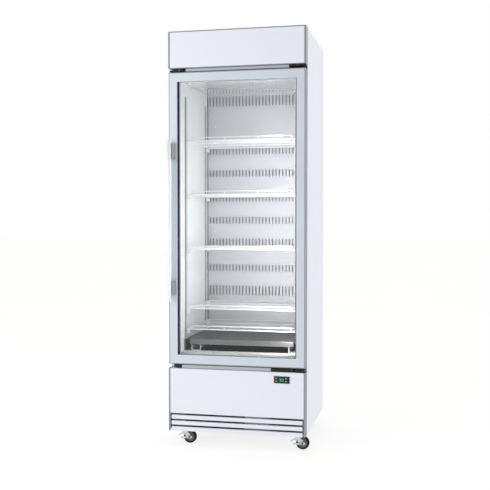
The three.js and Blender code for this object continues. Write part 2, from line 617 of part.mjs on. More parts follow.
// The tread has a flat facet underneath, so its flats lie on the wheel's radius.
function wheelSolid() {
  const tread = WHEEL_RADIUS / Math.cos(Math.PI / WHEEL_SIDES);
  const bore = AXLE_RADIUS + 0.6;
  const profile = [
    [bore, -10], [12, -10], [22, -7], [24, -11], [tread - 2, -11], [tread, -8],
    [tread, 8], [tread - 2, 11], [24, 11], [22, 7], [12, 10], [bore, 10], [bore, -10],
  ];
  return turned(profile, WHEEL_SIDES).rotateY(Math.PI / WHEEL_SIDES);
}

function pedalSolid() {
  const lever = [
    [0, 57], [-4, 59.5], [-9, 58], [-33, 42], [-35.5, 38.5], [-33, 36.5], [-30, 38], [-8, 49.5], [-3, 48.5],
    [-1.5, 50.5],
  ];
  return cut(plateXZ(lever, -9, 9), rodY(PEDAL_X, PEDAL_Z, 2.5, -10, 10, 12));
}

function castor(place, x, y, turn, braked) {
  const group = new THREE.Group();
  group.position.set(x, y, 0);
  group.rotation.z = turn;
  part(`castor_fork_${place}`, forkSolid(), ZINC, group);
  part(`castor_wheel_${place}`, wheelSolid(), RUBBER, group).position.set(CASTOR_TRAIL, 0, WHEEL_RADIUS);
  if (braked) {
    part(`brake_pedal_${place}`, pedalSolid(), ZINC, group);
  }
  fridge.add(group);
}
castor('front_left', -CASTOR_X, CASTOR_FRONT_Y, 0, true);
castor('front_right', CASTOR_X, CASTOR_FRONT_Y, 0, true);
castor('rear_left', -CASTOR_X, CASTOR_REAR_Y, Math.PI, false);
castor('rear_right', CASTOR_X, CASTOR_REAR_Y, Math.PI, false);

export default fridge;
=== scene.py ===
# An upright refrigerator with one glazed door, a blank sign box and a louvred machine space, on castors.
import json
import math

import bmesh
import bpy
from mathutils import Matrix, Vector

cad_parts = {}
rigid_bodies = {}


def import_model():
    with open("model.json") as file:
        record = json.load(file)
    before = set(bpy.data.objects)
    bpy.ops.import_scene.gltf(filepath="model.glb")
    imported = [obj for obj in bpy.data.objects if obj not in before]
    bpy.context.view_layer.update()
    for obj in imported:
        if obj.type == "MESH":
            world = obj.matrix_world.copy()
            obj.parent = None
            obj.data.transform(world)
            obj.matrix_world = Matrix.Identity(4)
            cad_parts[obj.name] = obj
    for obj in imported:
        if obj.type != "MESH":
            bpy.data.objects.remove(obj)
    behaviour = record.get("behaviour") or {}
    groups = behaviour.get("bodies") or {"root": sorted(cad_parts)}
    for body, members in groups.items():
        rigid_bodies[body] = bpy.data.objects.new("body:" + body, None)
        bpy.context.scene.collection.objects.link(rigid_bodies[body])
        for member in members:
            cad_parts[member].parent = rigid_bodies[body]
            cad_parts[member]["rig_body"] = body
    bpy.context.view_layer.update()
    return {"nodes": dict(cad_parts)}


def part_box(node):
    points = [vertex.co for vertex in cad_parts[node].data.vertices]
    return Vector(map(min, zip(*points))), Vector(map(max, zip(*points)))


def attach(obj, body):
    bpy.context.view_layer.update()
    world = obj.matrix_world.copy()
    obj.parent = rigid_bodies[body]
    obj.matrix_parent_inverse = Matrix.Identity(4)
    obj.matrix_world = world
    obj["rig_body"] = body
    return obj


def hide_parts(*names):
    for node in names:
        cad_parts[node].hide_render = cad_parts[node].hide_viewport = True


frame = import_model()
MM = 0.001

# ---- Room: a pale floor that runs to the horizon, even daylight from all round, and three soft lamps ----
# The third lamp stands inside the cabinet and gives the even light that its lamp strip sheds on the shelves.
# The camera stands to the right of the cabinet at chest height and looks a little down.
def feed(node, inputs):
    """Gives a node's inputs their values, or links them to another node's output or to a list of outputs."""
    for socket, sources in inputs.items():
        for source in sources if isinstance(sources, list) else [sources]:
            if isinstance(source, bpy.types.NodeSocket):
                node.id_data.links.new(source, node.inputs[socket])
            else:
                node.inputs[socket].default_value = source


def adder(tree):
    """A function that adds a node to the tree and hands back one output, the first unless another is named."""
    def add(kind, inputs={}, out=None, **settings):
        node = tree.nodes.new(kind)
        for name, value in settings.items():
            setattr(node, name, value)
        feed(node, inputs)
        return node.outputs[out] if out else next(output for output in node.outputs if output.enabled)
    return add


scene = bpy.context.scene
scene.view_settings.view_transform = "Standard"
sky = bpy.data.worlds.new("even_daylight")
sky.use_nodes = True
add = adder(sky.node_tree)
depth_of_sky = add("ShaderNodeSeparateXYZ", {"Vector": add("ShaderNodeTexCoord", out="Generated")}, out="Y")
dusk = add("ShaderNodeMapRange", {
    "Value": depth_of_sky, "From Min": -0.75, "From Max": -0.05, "To Min": 0.60, "To Max": 1.0})
feed(sky.node_tree.nodes["Background"], {"Color": (1.0, 1.0, 1.0, 1), "Strength": dusk})
scene.world = sky


def shader_of(name):
    """A new material, the adder of its nodes, and its main shader."""
    material = bpy.data.materials.new(name)
    material.use_nodes = True
    return material, adder(material.node_tree), material.node_tree.nodes["Principled BSDF"]


floor_grey, add, shader = shader_of("pale_floor")
cloud = add("ShaderNodeTexNoise", {"Scale": 0.8, "Vector": add("ShaderNodeTexCoord", out="Object")})
tone = add("ShaderNodeMix", {"Factor": cloud, "A": (0.27, 0.27, 0.27, 1), "B": (0.29, 0.29, 0.29, 1)}, data_type="RGBA")
feed(shader, {"Base Color": tone, "Emission Color": (1, 1, 0.99, 1), "Emission Strength": 0.742, "Roughness": 0.8,
              "Specular IOR Level": 0.0})
floor_mesh = bpy.data.meshes.new("floor")
floor_mesh.from_pydata([(-40, -12, 0), (40, -12, 0), (40, 60, 0), (-40, 60, 0)], [], [(0, 1, 2, 3)])
floor = bpy.data.objects.new("studio_floor", floor_mesh)
floor_mesh.materials.append(floor_grey)
scene.collection.objects.link(floor)


def soft_lamp(name, place, target, size, power, height=None):
    lamp = bpy.data.lights.new(name, "AREA")
    lamp.size = size
    if height:
        lamp.shape = "RECTANGLE"
        lamp.size_y = height
    lamp.energy = power
    holder = bpy.data.objects.new(name, lamp)
    holder.location = place
    holder.rotation_euler = (Vector(target) - Vector(place)).to_track_quat("-Z", "Y").to_euler()
    scene.collection.objects.link(holder)


soft_lamp("front_lamp", (-3.2, -4.2, 2.0), (0, 0, 1.05), 2.6, 80)
soft_lamp("side_lamp", (4.2, -0.5, 2.6), (0.3, 0, 1.6), 2.0, 7)
soft_lamp("cabinet_lamp", (0.235, -0.24, 1.16), (-0.12, 0.2, 1.12), 0.06, 3.7, height=1.22)

camera = bpy.data.objects.new("camera", bpy.data.cameras.new("camera"))
camera.data.sensor_width = 36
camera.data.lens = 61.97
camera.location = (0.9995, -4.608, 1.199)
yaw, pitch = math.radians(12.516), math.radians(-1.59)
looking = Vector((-math.sin(yaw) * math.cos(pitch), math.cos(yaw) * math.cos(pitch), math.sin(pitch)))
camera.rotation_euler = looking.to_track_quat("-Z", "Y").to_euler()
scene.collection.objects.link(camera)
scene.camera = camera


# ---- Insulated cabinet: two side walls, a rear wall, a roof and a floor, foamed between steel sheets ----
# The sheets are folded steel with a baked white powder coat, so every edge has a small bend radius.
# The coat has a fine orange-peel texture, and it is a little cooler in tone on the outside.
def coated(name, colour, roughness, metallic=0.0, grain=500, depth=0.03, mottle=0.03, stretch=(1, 1, 1), coat=0.0,
           shine=0.5, coat_roughness=0.12):
    """A finish with a fine surface grain, a slow change of tone, and a roughness that follows that tone."""
    material, add, shader = shader_of(name)
    place = add("ShaderNodeTexCoord", out="Object")
    turn = add("ShaderNodeMapping", {"Vector": place, "Scale": stretch})
    fine = add("ShaderNodeTexNoise", {"Vector": turn, "Scale": grain, "Detail": 3})
    slow = add("ShaderNodeTexNoise", {"Vector": place, "Scale": 5, "Detail": 4})
    both = add("ShaderNodeMath", {0: fine, 1: 0.25, 2: slow}, operation="MULTIPLY_ADD")
    dark = tuple(c * (1 - mottle) for c in colour)
    feed(shader, {
        "Base Color": add("ShaderNodeMix", {"Factor": both, "A": (*dark, 1), "B": (*colour, 1)}, data_type="RGBA"),
        "Roughness": add("ShaderNodeMapRange", {
            "Value": both, "From Min": 0.3, "From Max": 0.7, "To Min": roughness * 0.85,
            "To Max": min(1, roughness * 1.15)}),
        "Normal": add("ShaderNodeBump", {"Height": fine, "Distance": depth * MM, "Strength": 0.6}),
        "Metallic": metallic, "Coat Weight": coat, "Coat Roughness": coat_roughness, "Specular IOR Level": shine})
    return material


def settled(piece, body, nodes, smooth):
    """Shades a finished piece, lets it ride on its body, and hides the CAD nodes it stands for."""
    if smooth:
        piece.data.shade_smooth()
        piece.data.set_sharp_from_angle(angle=math.radians(smooth))
    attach(piece, body)
    if nodes:
        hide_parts(*nodes)
    return piece


def put(name, shape, finishes, slot, body, *nodes, smooth=35):
    """Turns a finished shape into a piece that rides on a body and stands for CAD nodes."""
    mesh = bpy.data.meshes.new(name)
    shape.to_mesh(mesh)
    shape.free()
    for finish in finishes if isinstance(finishes, (list, tuple)) else [finishes]:
        mesh.materials.append(finish)
    piece = bpy.data.objects.new(name, mesh)
    scene.collection.objects.link(piece)
    return settled(piece, body, nodes, smooth)


def merged(node):
    """A copy of a CAD node's mesh, its triangles joined and its flat faces made whole."""
    shape = bmesh.new()
    shape.from_mesh(frame["nodes"][node].data)
    bmesh.ops.remove_doubles(shape, verts=shape.verts, dist=0.002 * MM)
    bmesh.ops.dissolve_limit(shape, angle_limit=math.radians(0.5), verts=shape.verts, edges=shape.edges)
    return shape


def eased(shape, radius, steps=2):
    """Rounds the hard edges. Flat faces stay flat, and only the new bends are shaded smooth."""
    bends = [e for e in shape.edges if len(e.link_faces) == 2 and 0.02 < e.calc_face_angle(0) < 0.6]
    for face in {f for e in bends for f in e.link_faces}:
        face.smooth = True
    hard = [e for e in shape.edges if len(e.link_faces) == 2 and e.calc_face_angle(0) > 0.75]
    made = bmesh.ops.bevel(
        shape, geom=hard, offset=radius * MM, segments=steps, profile=0.5, affect="EDGES", clamp_overlap=True)
    for face in made["faces"]:
        face.smooth = True
    return shape


def folded(node, finishes, slot, radius=0.8, steps=2, name=None):
    """A CAD node's own shape, with its edges eased, as a piece of its own."""
    body = frame["nodes"][node]["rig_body"]
    return put(name or node + "_made", eased(merged(node), radius, steps), finishes, slot, body, node, smooth=0)


def two_tone(shape, test):
    """Gives the second finish to the faces that pass the test, and the first to all others."""
    for face in shape.faces:
        face.material_index = int(test(face))
    return shape


outside_white = coated("outside_powder_coat", (0.78, 0.80, 0.87), 0.36, grain=650, depth=0.05, coat=0.15)
liner_white = coated("liner_powder_coat", (0.86, 0.87, 0.88), 0.30, grain=650, depth=0.04, coat=0.25)
for node, inward in (("wall_left", 1), ("wall_right", -1)):
    shape = two_tone(eased(merged(node), 1.0), lambda face: face.normal.x * inward > 0.5)
    put(node + "_sheets", shape, [outside_white, liner_white], "white_steel", "cabinet", node, smooth=0)
# The rear wall's inside face behind the duct panel is dark grey: painted shade of the air space seen through the slots.
duct_painted_shade = coated("duct_back_painted_shade", (0.34, 0.345, 0.36), 0.6, grain=300, depth=0.1, mottle=0.2)
shape = two_tone(eased(merged("rear_wall"), 1.0), lambda face: face.normal.y < -0.5)
put("rear_wall_sheets", shape, [outside_white, duct_painted_shade], "white_steel", "cabinet", "rear_wall", smooth=0)
ceiling_gloss = coated("ceiling_gloss_coat", (0.73, 0.74, 0.76), 0.05, grain=8, depth=0.004, mottle=0.02, coat=1.0,
                       shine=0.8, coat_roughness=0.02)
ceiling_limit = 1960 * MM
shape = two_tone(eased(merged("roof"), 1.0),
                 lambda face: face.normal.z < -0.5 and face.calc_center_median().z < ceiling_limit)
put("roof_sheets", shape, [outside_white, ceiling_gloss], "white_steel", "cabinet", "roof", smooth=0)
folded("floor", liner_white, "liner_white")

# ---- Wall seams and fixings: pan-head screws along the rear edges of the side walls and the roof ----
# Each is a zinc-plated M4 screw with a cross recess, standing 1.6 mm proud of the sheet.
def tree_of(name, sockets):
    """A node tree with named inputs: the adder of its nodes, its inputs, and the function that ends it."""
    tree = bpy.data.node_groups.new(name, "GeometryNodeTree")
    tree.interface.new_socket("Geometry", in_out="INPUT", socket_type="NodeSocketGeometry")
    for label, kind in sockets.items():
        tree.interface.new_socket(label, in_out="INPUT", socket_type="NodeSocket" + kind)
    tree.interface.new_socket("Geometry", in_out="OUTPUT", socket_type="NodeSocketGeometry")
    add = adder(tree)

    def end(geometry, finish, selection=True):
        real = add("GeometryNodeRealizeInstances", {"Geometry": geometry})
        painted = add("GeometryNodeSetMaterial", {"Geometry": real, "Selection": selection, "Material": finish})
        feed(tree.nodes.new("NodeGroupOutput"), {"Geometry": painted})
        return tree
    return add, tree.nodes.new("NodeGroupInput").outputs, end


def grown(name, mesh, tree, values, slot, body, *nodes, smooth=35):
    """Runs a node tree on a mesh and keeps the result as a plain piece."""
    holder = bpy.data.objects.new(name, mesh)
    scene.collection.objects.link(holder)
    maker = holder.modifiers.new("maker", "NODES")
    maker.node_group = tree
    for item in tree.interface.items_tree:
        if item.in_out == "INPUT" and item.name in values:
            maker[item.identifier] = values[item.name]
    bpy.context.view_layer.update()
    ready = holder.evaluated_get(bpy.context.evaluated_depsgraph_get())
    plain = bpy.data.meshes.new_from_object(ready)
    holder.modifiers.clear()
    holder.data = plain
    return settled(holder, body, nodes, smooth)


def screw_tree():
    """A domed head with a cross recess on every point, turned the way that the point's attribute says."""
    add, given, end = tree_of("screw_heads", {"Radius": "Float", "Height": "Float", "Finish": "Material"})
    head = add("GeometryNodeMeshUVSphere", {"Segments": 16, "Rings": 8, "Radius": given["Radius"]})
    ratio = add("ShaderNodeMath", {0: given["Height"], 1: given["Radius"]}, operation="DIVIDE")
    squash = add("ShaderNodeCombineXYZ", {"X": 1, "Y": 1, "Z": ratio})
    flat = add("GeometryNodeTransform", {"Geometry": head, "Scale": squash})
    slots = []
    for size in ((0.0042, 0.0007, 0.004), (0.0007, 0.0042, 0.004)):
        bar = add("GeometryNodeMeshCube", {"Size": size})
        slots.append(add("GeometryNodeTransform", {"Geometry": bar, "Translation": (0, 0, 0.0031)}))
    recess = add("GeometryNodeMeshBoolean", {"Mesh 1": flat, "Mesh 2": slots}, operation="DIFFERENCE")
    facing = add("GeometryNodeInputNamedAttribute", {"Name": "facing"}, data_type="FLOAT_VECTOR")
    turn = add("FunctionNodeAlignRotationToVector", {"Vector": facing}, axis="Z")
    spread = add("GeometryNodeInstanceOnPoints", {"Points": given["Geometry"], "Instance": recess, "Rotation": turn})
    return end(spread, given["Finish"])


SCREWS = screw_tree()


def screws(name, places, facing, finish, slot, body="cabinet", radius=3.8, height=1.6):
    points = bpy.data.meshes.new(name)
    points.from_pydata([[c * MM for c in p] for p in places], [], [])
    attribute = points.attributes.new("facing", "FLOAT_VECTOR", "POINT")
    for value in attribute.data:
        value.vector = facing
    return grown(name, points, SCREWS, {"Radius": radius * MM, "Height": height * MM, "Finish": finish}, slot, body)


zinc = coated("zinc_plate", (0.62, 0.63, 0.65), 0.32, metallic=0.85, grain=900, depth=0.02, mottle=0.18)
rear_places = [(x, 375, z) for x in (-342, 342) for z in range(460, 2180, 190)]
screws("rear_wall_screws", rear_places, (0, 1, 0), zinc, "zinc_steel")
roof_places = [(x, y, 2200) for x in (-340, 340) for y in range(-220, 360, 135)]
screws("roof_screws", roof_places, (0, 0, 1), zinc, "zinc_steel")

# ---- Sign box: an aluminium channel round a white opal sheet that a lamp would light from behind ----
# The sheet is blank. The channel's edge shows as a narrow grey line round it and on both sides.
# A grey strip fills the gap over the door, and another the gap under it: painted shade of the white cabinet front
# there.
grey_trim = coated("anodised_grey", (0.29, 0.305, 0.335), 0.38, metallic=0.35, grain=900, depth=0.02,
                   stretch=(1, 1, 0.04))
sign_white = coated("opal_acrylic", (0.77, 0.79, 0.87), 0.30, grain=300, depth=0.01, mottle=0.015, coat=0.3)
folded("sign_box", grey_trim, "grey_trim", 0.6)
folded("sign_panel", sign_white, "sign_white", 1.2, 3)
# The gap strips' grey is painted shade of the cabinet front seen in the gaps.
gap_painted_shade_grey = coated("gap_painted_shade_grey", (0.50, 0.52, 0.57), 0.4, metallic=0.2, grain=1200, depth=0.015, mottle=0.05,
                     stretch=(0.05, 1, 1))


def blocks(*places):
    """A shape of blocks, each given by its centre and its size in millimetres."""
    shape = bmesh.new()
    for centre, size in places:
        made = bmesh.ops.create_cube(shape, size=1)
        bmesh.ops.transform(shape, verts=made["verts"], matrix=Matrix.Translation(
            [c * MM for c in centre]) @ Matrix.Diagonal([*[c * MM for c in size], 1]))
    return shape


for name, place in (("header_gap_painted_shade", ((2, -307, 1996.6), (552, 14, 15.6))),
                    ("lower_gap_painted_shade", ((-57, -307, 428.3), (482, 14, 17.4)))):
    put(name, eased(blocks(place), 1.2), gap_painted_shade_grey, "silver_frame", "cabinet", smooth=0)

# ---- Door frame: four aluminium profiles mitred at the corners round a sealed double pane ----
# The face is satin silver, brushed along each profile; its outer edge is painted grey as shade of the gap by the door.
# The panes sit in a rabbet round a spacer bar, and the frame has a slot for the lock's cam and a bore for each hinge
# pin.
silver = coated("satin_silver", (0.60, 0.655, 0.73), 0.34, metallic=0.25, grain=1200, depth=0.015, mottle=0.05,
                stretch=(1, 1, 0.05), coat=0.2)


def cut_away(shape, finishes, boxes, rods):
    """What is left of a shape once boxes, and upright rods, are taken out of it."""
    tools = blocks(*boxes)
    for x, y, radius, z0, z1 in rods:
        bmesh.ops.create_cone(
            tools, cap_ends=True, segments=32, radius1=radius * MM, radius2=radius * MM, depth=(z1 - z0) * MM,
            matrix=Matrix.Translation((x * MM, y * MM, (z0 + z1) / 2 * MM)))
    holders = []
    for source in (shape, tools):
        mesh = bpy.data.meshes.new("cutting")
        source.to_mesh(mesh)
        source.free()
        for finish in finishes:
            mesh.materials.append(finish)
        holders.append(bpy.data.objects.new("cutting", mesh))
        scene.collection.objects.link(holders[-1])
    cut = holders[0].modifiers.new("cut", "BOOLEAN")
    cut.operation = "DIFFERENCE"
    cut.solver = "EXACT"
    cut.object = holders[1]
    graph = bpy.context.evaluated_depsgraph_get()
    left = bmesh.new()
    left.from_mesh(bpy.data.meshes.new_from_object(holders[0].evaluated_get(graph), depsgraph=graph))
    for holder in holders:
        bpy.data.objects.remove(holder)
    return left


def hoop(name, outer, inner, section, finishes, slot, *nodes, body="door", face_finish=None, boxes=(), rods=()):
    """A closed section carried round a rectangle. u runs from the outer edge at 0 to the inner edge at 1."""
    shape = bmesh.new()
    rings = []
    for right, top in ((1, 0), (1, 1), (-1, 1), (-1, 0)):
        ring = []
        for u, y in section:
            x = right * (outer[0] + (inner[0] - outer[0]) * u)
            high = 1 + top
            z = outer[high] + (inner[high] - outer[high]) * u
            ring.append(shape.verts.new((x * MM, y * MM, z * MM)))
        rings.append(ring)
    for i in range(4):
        here, after = rings[i], rings[(i + 1) % 4]
        for k in range(len(section)):
            n = (k + 1) % len(section)
            face = shape.faces.new((here[k], here[n], after[n], after[k]))
            if face_finish:
                face.material_index = face_finish(k)
    bmesh.ops.recalc_face_normals(shape, faces=shape.faces)
    if boxes or rods:
        shape = cut_away(shape, finishes, boxes, rods)
    return put(name, shape, finishes, slot, body, *nodes, smooth=30)


def bow(centre, radius, start, stop, steps=5):
    """Points on an arc, for a rounded corner of a section."""
    angles = [math.radians(start + (stop - start) * i / steps) for i in range(steps + 1)]
    return [(centre[0] + radius[0] * math.cos(a), centre[1] + radius[1] * math.sin(a)) for a in angles]


door_outer, door_inner = (364.5, 442, 1984), (318.5, 492, 1936)
frame_section = [
    (0, -282), *bow((0.045, -324), (0.045, 2), 180, 270), (0.105, -326), *bow((0.965, -324.4), (0.035, 1.6), 270, 360),
    (1, -319.2), (0.865, -319.2), (0.865, -295.4), (1, -295.4), *bow((0.97, -285), (0.03, 3), 0, 90, 3),
]
# The rounded outer edge takes the grey trim as painted shade of the gap beside the door.
hoop("door_frame_profiles", door_outer, door_inner, frame_section, [silver, grey_trim], "silver_frame", "door_frame",
     face_finish=lambda k: 1 if k <= 6 or k == len(frame_section) - 1 else 0,
     boxes=[((-314.5, -296.7, 1979.5), (25, 6.4, 13))],
     rods=[(345, -300, 5.6, 440, 462), (345, -300, 5.6, 1964, 1986)])

spacer_black = coated("black_spacer", (0.008, 0.008, 0.01), 0.5, grain=700, depth=0.02, mottle=0.2, shine=0.15)
# The black spacer's top and right runs take the frame's silver instead: painted light where the bar would show dark.
painted_light_top_z, painted_light_right_x = 1930 * MM, 300 * MM
shape = two_tone(
    eased(merged("glass_spacer"), 0.5),
    lambda face: face.calc_center_median().z > painted_light_top_z or face.calc_center_median().x > painted_light_right_x)
put("glass_spacer_bar", shape, [spacer_black, silver], "black_plastic", "door", "glass_spacer", smooth=0)

pane_glass, add, shader = shader_of("float_glass")
film = add("ShaderNodeTexNoise", {"Scale": 3, "Detail": 5, "Vector": add("ShaderNodeTexCoord", out="Object")})
veil = 0.012
feed(shader, {
    "Alpha": add("ShaderNodeMapRange", {"Value": film, "To Min": veil * 0.6, "To Max": veil * 1.4}),
    "Roughness": add("ShaderNodeMapRange", {"Value": film, "To Min": 0.02, "To Max": 0.07}),
    "Base Color": (0.82, 0.87, 0.88, 1)})
for node in ("glass_outer", "glass_inner"):
    folded(node, pane_glass, "clear_glass", 0.6)

# ---- Door gasket: a soft grey bellows with a magnet strip, pushed into a groove at the back of the door ----
# Its section has two folds and a flat sealing face, and it runs unbroken round the four corners.
seal = coated("gasket_rubber", (0.20, 0.21, 0.22), 0.6, grain=400, depth=0.05, mottle=0.1)
gasket_section = [
    (0.0, -281.4), (0.0, -279.6), (0.14, -278.2), (0.0, -276.8), (0.14, -275.2), (0.02, -273.6), (0.02, -270.0),
    (0.08, -269.2), (0.92, -269.2), (0.98, -270.0), (0.98, -273.6), (0.86, -275.2), (1.0, -276.8), (0.86, -278.2),
    (1.0, -279.6), (1.0, -281.4),
]
hoop("door_gasket_bellows", (350, 454, 1974), (330, 474, 1954), gasket_section, seal, "seal_rubber", "door_gasket")

# ---- Pull handle: a bright anodised tube with domed end caps on two cast brackets ----
# The tube is brushed along its length. Each bracket is a grey casting, screwed on from behind.
bright_tube = coated("bright_anodised", (0.88, 0.89, 0.90), 0.22, metallic=0.55, grain=1500, depth=0.01, mottle=0.03,
                     stretch=(1, 1, 0.02), coat=0.3)


def spun(name, outline, centre, axis, finishes, slot, body, *nodes, sides=48, faces=None):
    """A turned shape: outline is (radius, height) from one end of the axis to the other, closed on the axis."""
    shape = bmesh.new()
    centre = Vector(centre) * MM
    turn = Vector((0, 0, 1)).rotation_difference(Vector(axis)).to_matrix()
    rings = []
    for radius, height in outline:
        if radius < 1e-6:
            rings.append([shape.verts.new(turn @ Vector((0, 0, height * MM)) + centre)])
            continue
        ring = []
        for i in range(sides):
            a = 2 * math.pi * i / sides
            spot = Vector((radius * math.cos(a), radius * math.sin(a), height)) * MM
            ring.append(shape.verts.new(turn @ spot + centre))
        rings.append(ring)
    closed = len(rings[0]) > 1
    pairs = list(zip(rings, rings[1:] + ([rings[0]] if closed else [])))
    for k, (here, after) in enumerate(pairs):
        for i in range(sides):
            n = (i + 1) % sides
            corners = [here[i % len(here)], here[n % len(here)], after[n % len(after)], after[i % len(after)]]
            face = shape.faces.new(list(dict.fromkeys(corners)))
            if faces:
                face.material_index = faces(k)
    bmesh.ops.recalc_face_normals(shape, faces=shape.faces)
    return put(name, shape, finishes, slot, body, *nodes)


tube_x, tube_y, tube_r = -353.5, -362, 12.5
dome = [(tube_r * math.sin(a), 4 * math.cos(a)) for a in (0, 0.4, 0.8, 1.2, math.pi / 2)]
tube_outline = [(r, 781 - h) for r, h in dome] + [(r, 1623 + h) for r, h in reversed(dome)]
spun("handle_tube_capped", tube_outline, (tube_x, tube_y, 0), (0, 0, 1), bright_tube, "bright_aluminium", "door",
     "handle_tube", sides=40)
cast_grey = coated("cast_bracket_grey", (0.30, 0.32, 0.34), 0.45, metallic=0.3, grain=500, depth=0.06, mottle=0.08)
for node in ("handle_bracket_upper", "handle_bracket_lower"):
    folded(node, cast_grey, "grey_trim", 1.6, 3)

# ---- Hinges, closer, door switch and cam lock: black moulded and coated pieces in the gaps by the door ----
# The lock has a small zinc barrel with a keyway, under an arched housing at the top left corner.
black = coated("black_moulding", (0.012, 0.012, 0.014), 0.42, grain=450, depth=0.08, mottle=0.25, shine=0.25)
for node, radius in (("top_hinge", 1.2), ("bottom_hinge", 1.5), ("door_closer", 2.0), ("door_switch", 2.0),
                     ("lock_housing", 1.5)):
    folded(node, black, "black_plastic", radius, 3)
dark_zinc = coated("blackened_zinc", (0.10, 0.10, 0.11), 0.35, metallic=0.7, grain=900, depth=0.02, mottle=0.15)
folded("lock_barrel", dark_zinc, "zinc_steel", 0.4)
for name, across, y, z in (("hinge_screws", (292, 322), -322, 2000), ("lower_hinge_screws", (322, 352), -322, 429.5),
                           ("closer_screws", (198, 296), -318, 430)):
    screws(name, [(x, y, z) for x in across], (0, -1, 0), dark_zinc, "zinc_steel", radius=3, height=1.2)

# ---- Duct panel: a white steel sheet over the air space at the back, with bands of upright slots ----
# Cold air leaves through the slots behind each shelf. Eight bands of thirty-one slots are punched in one sheet.
# A dark strip stands at each of its upright edges: painted shadow of the gap between the panel and the side walls.
def perforating_tree():
    """Cuts rounded slots: one line of them from every loose point, which carries the slot's height."""
    add, given, end = tree_of("punched_slots", {
        "Count": "Int", "Step": "Vector", "Width": "Float", "Depth": "Float", "Turn": "Vector", "Finish": "Material",
        "Cut finish": "Material"})

    def worked(operation, *terms):
        return add("ShaderNodeMath", dict(enumerate(terms)), operation=operation)

    height = add("GeometryNodeInputNamedAttribute", {"Name": "slot_height"})
    above = add("FunctionNodeCompare", {"A": height, "B": 0.0001})
    loose = add("GeometryNodeSeparateGeometry", {"Geometry": given["Geometry"], "Selection": above}, domain="POINT")
    line = add("GeometryNodeMeshLine", {"Count": given["Count"], "Offset": given["Step"]})
    lines = add("GeometryNodeInstanceOnPoints", {"Points": loose, "Instance": line})
    spots = add("GeometryNodeRealizeInstances", {"Geometry": lines})
    level = add("ShaderNodeSeparateXYZ", {"Vector": add("GeometryNodeInputPosition")}, out="Z")
    marked = add("GeometryNodeStoreNamedAttribute", {"Name": "slot_middle", "Geometry": spots, "Value": level})
    half = worked("MULTIPLY", given["Width"], 0.5)
    peg = add("GeometryNodeMeshCylinder", {"Vertices": 12, "Radius": half, "Depth": given["Depth"]})
    lying = add("GeometryNodeTransform", {"Geometry": peg, "Rotation": (math.radians(90), 0, 0)})
    aimed = add("GeometryNodeTransform", {"Geometry": lying, "Rotation": given["Turn"]})
    punches = add("GeometryNodeInstanceOnPoints", {"Points": marked, "Instance": aimed})
    pegs = add("GeometryNodeRealizeInstances", {"Geometry": punches})
    centre = add("GeometryNodeInputNamedAttribute", {"Name": "slot_middle"})
    sign = worked("SIGN", worked("SUBTRACT", level, centre))
    reach = worked("MULTIPLY_ADD", height, 0.5, worked("MULTIPLY", half, -1))
    upward = add("ShaderNodeCombineXYZ", {"Z": worked("MULTIPLY", sign, reach)})
    stretched = add("GeometryNodeSetPosition", {"Geometry": pegs, "Offset": upward})
    sheet = add("GeometryNodeSetMaterial", {"Geometry": loose.node.outputs["Inverted"], "Material": given["Finish"]})
    shaded = add("GeometryNodeSetMaterial", {"Geometry": stretched, "Material": given["Cut finish"]})
    cut = add("GeometryNodeMeshBoolean", {"Mesh 1": sheet, "Mesh 2": shaded}, operation="DIFFERENCE", solver="EXACT")
    return end(cut, given["Finish"], selection=False)


PUNCH = perforating_tree()


def punched(name, shape, rows, values, slot, *nodes, body="cabinet"):
    """rows are (x, y, z, slot height); each starts one line of slots through the shape."""
    high = shape.verts.layers.float.new("slot_height")
    for x, y, z, height in rows:
        point = shape.verts.new((x * MM, y * MM, z * MM))
        point[high] = height * MM
    mesh = bpy.data.meshes.new(name)
    shape.to_mesh(mesh)
    shape.free()
    return grown(name, mesh, PUNCH, values, slot, body, *nodes, smooth=30)


duct_white = coated("duct_powder_coat", (0.60, 0.61, 0.64), 0.30, grain=650, depth=0.04, mottle=0.04, coat=0.2)
slot_rows = [(-300, 287, z, 42) for z in (1617, 1486, 1338, 1207, 1078, 924)]
slot_rows += [(-300, 287, 1912, 60), (-300, 287, 789, 58)]
# The walls of the duct slots take the same dark grey, as painted shade.
punched("duct_panel_punched", merged("duct_panel"), slot_rows, {
    "Count": 31, "Step": (20 * MM, 0, 0), "Width": 7 * MM, "Depth": 12 * MM, "Turn": (0, 0, 0), "Finish": duct_white,
    "Cut finish": duct_painted_shade,
}, "liner_white", "duct_panel")
duct_places = [(x, 286, z) for x in (-270, 270) for z in (1765, 1140, 700)]
screws("duct_screws", duct_places, (0, -1, 0), liner_white, "liner_white", radius=4.5, height=2.2)
# These dark strips are painted shadow in the gaps beside the duct panel.
shadow_gap_strips = blocks(*[((side * 314.8, 285.2, 1257.5), (4.2, 1.4, 1380)) for side in (-1, 1)])
duct_gap_painted_shadow = coated("duct_gap_painted_shadow_coat", (0.09, 0.09, 0.095), 0.8, grain=250, depth=0.2, mottle=0.3, shine=0.1)
put("duct_edge_painted_shadow", eased(shadow_gap_strips, 0.4), duct_gap_painted_shadow, "seal_rubber", "cabinet", smooth=0)

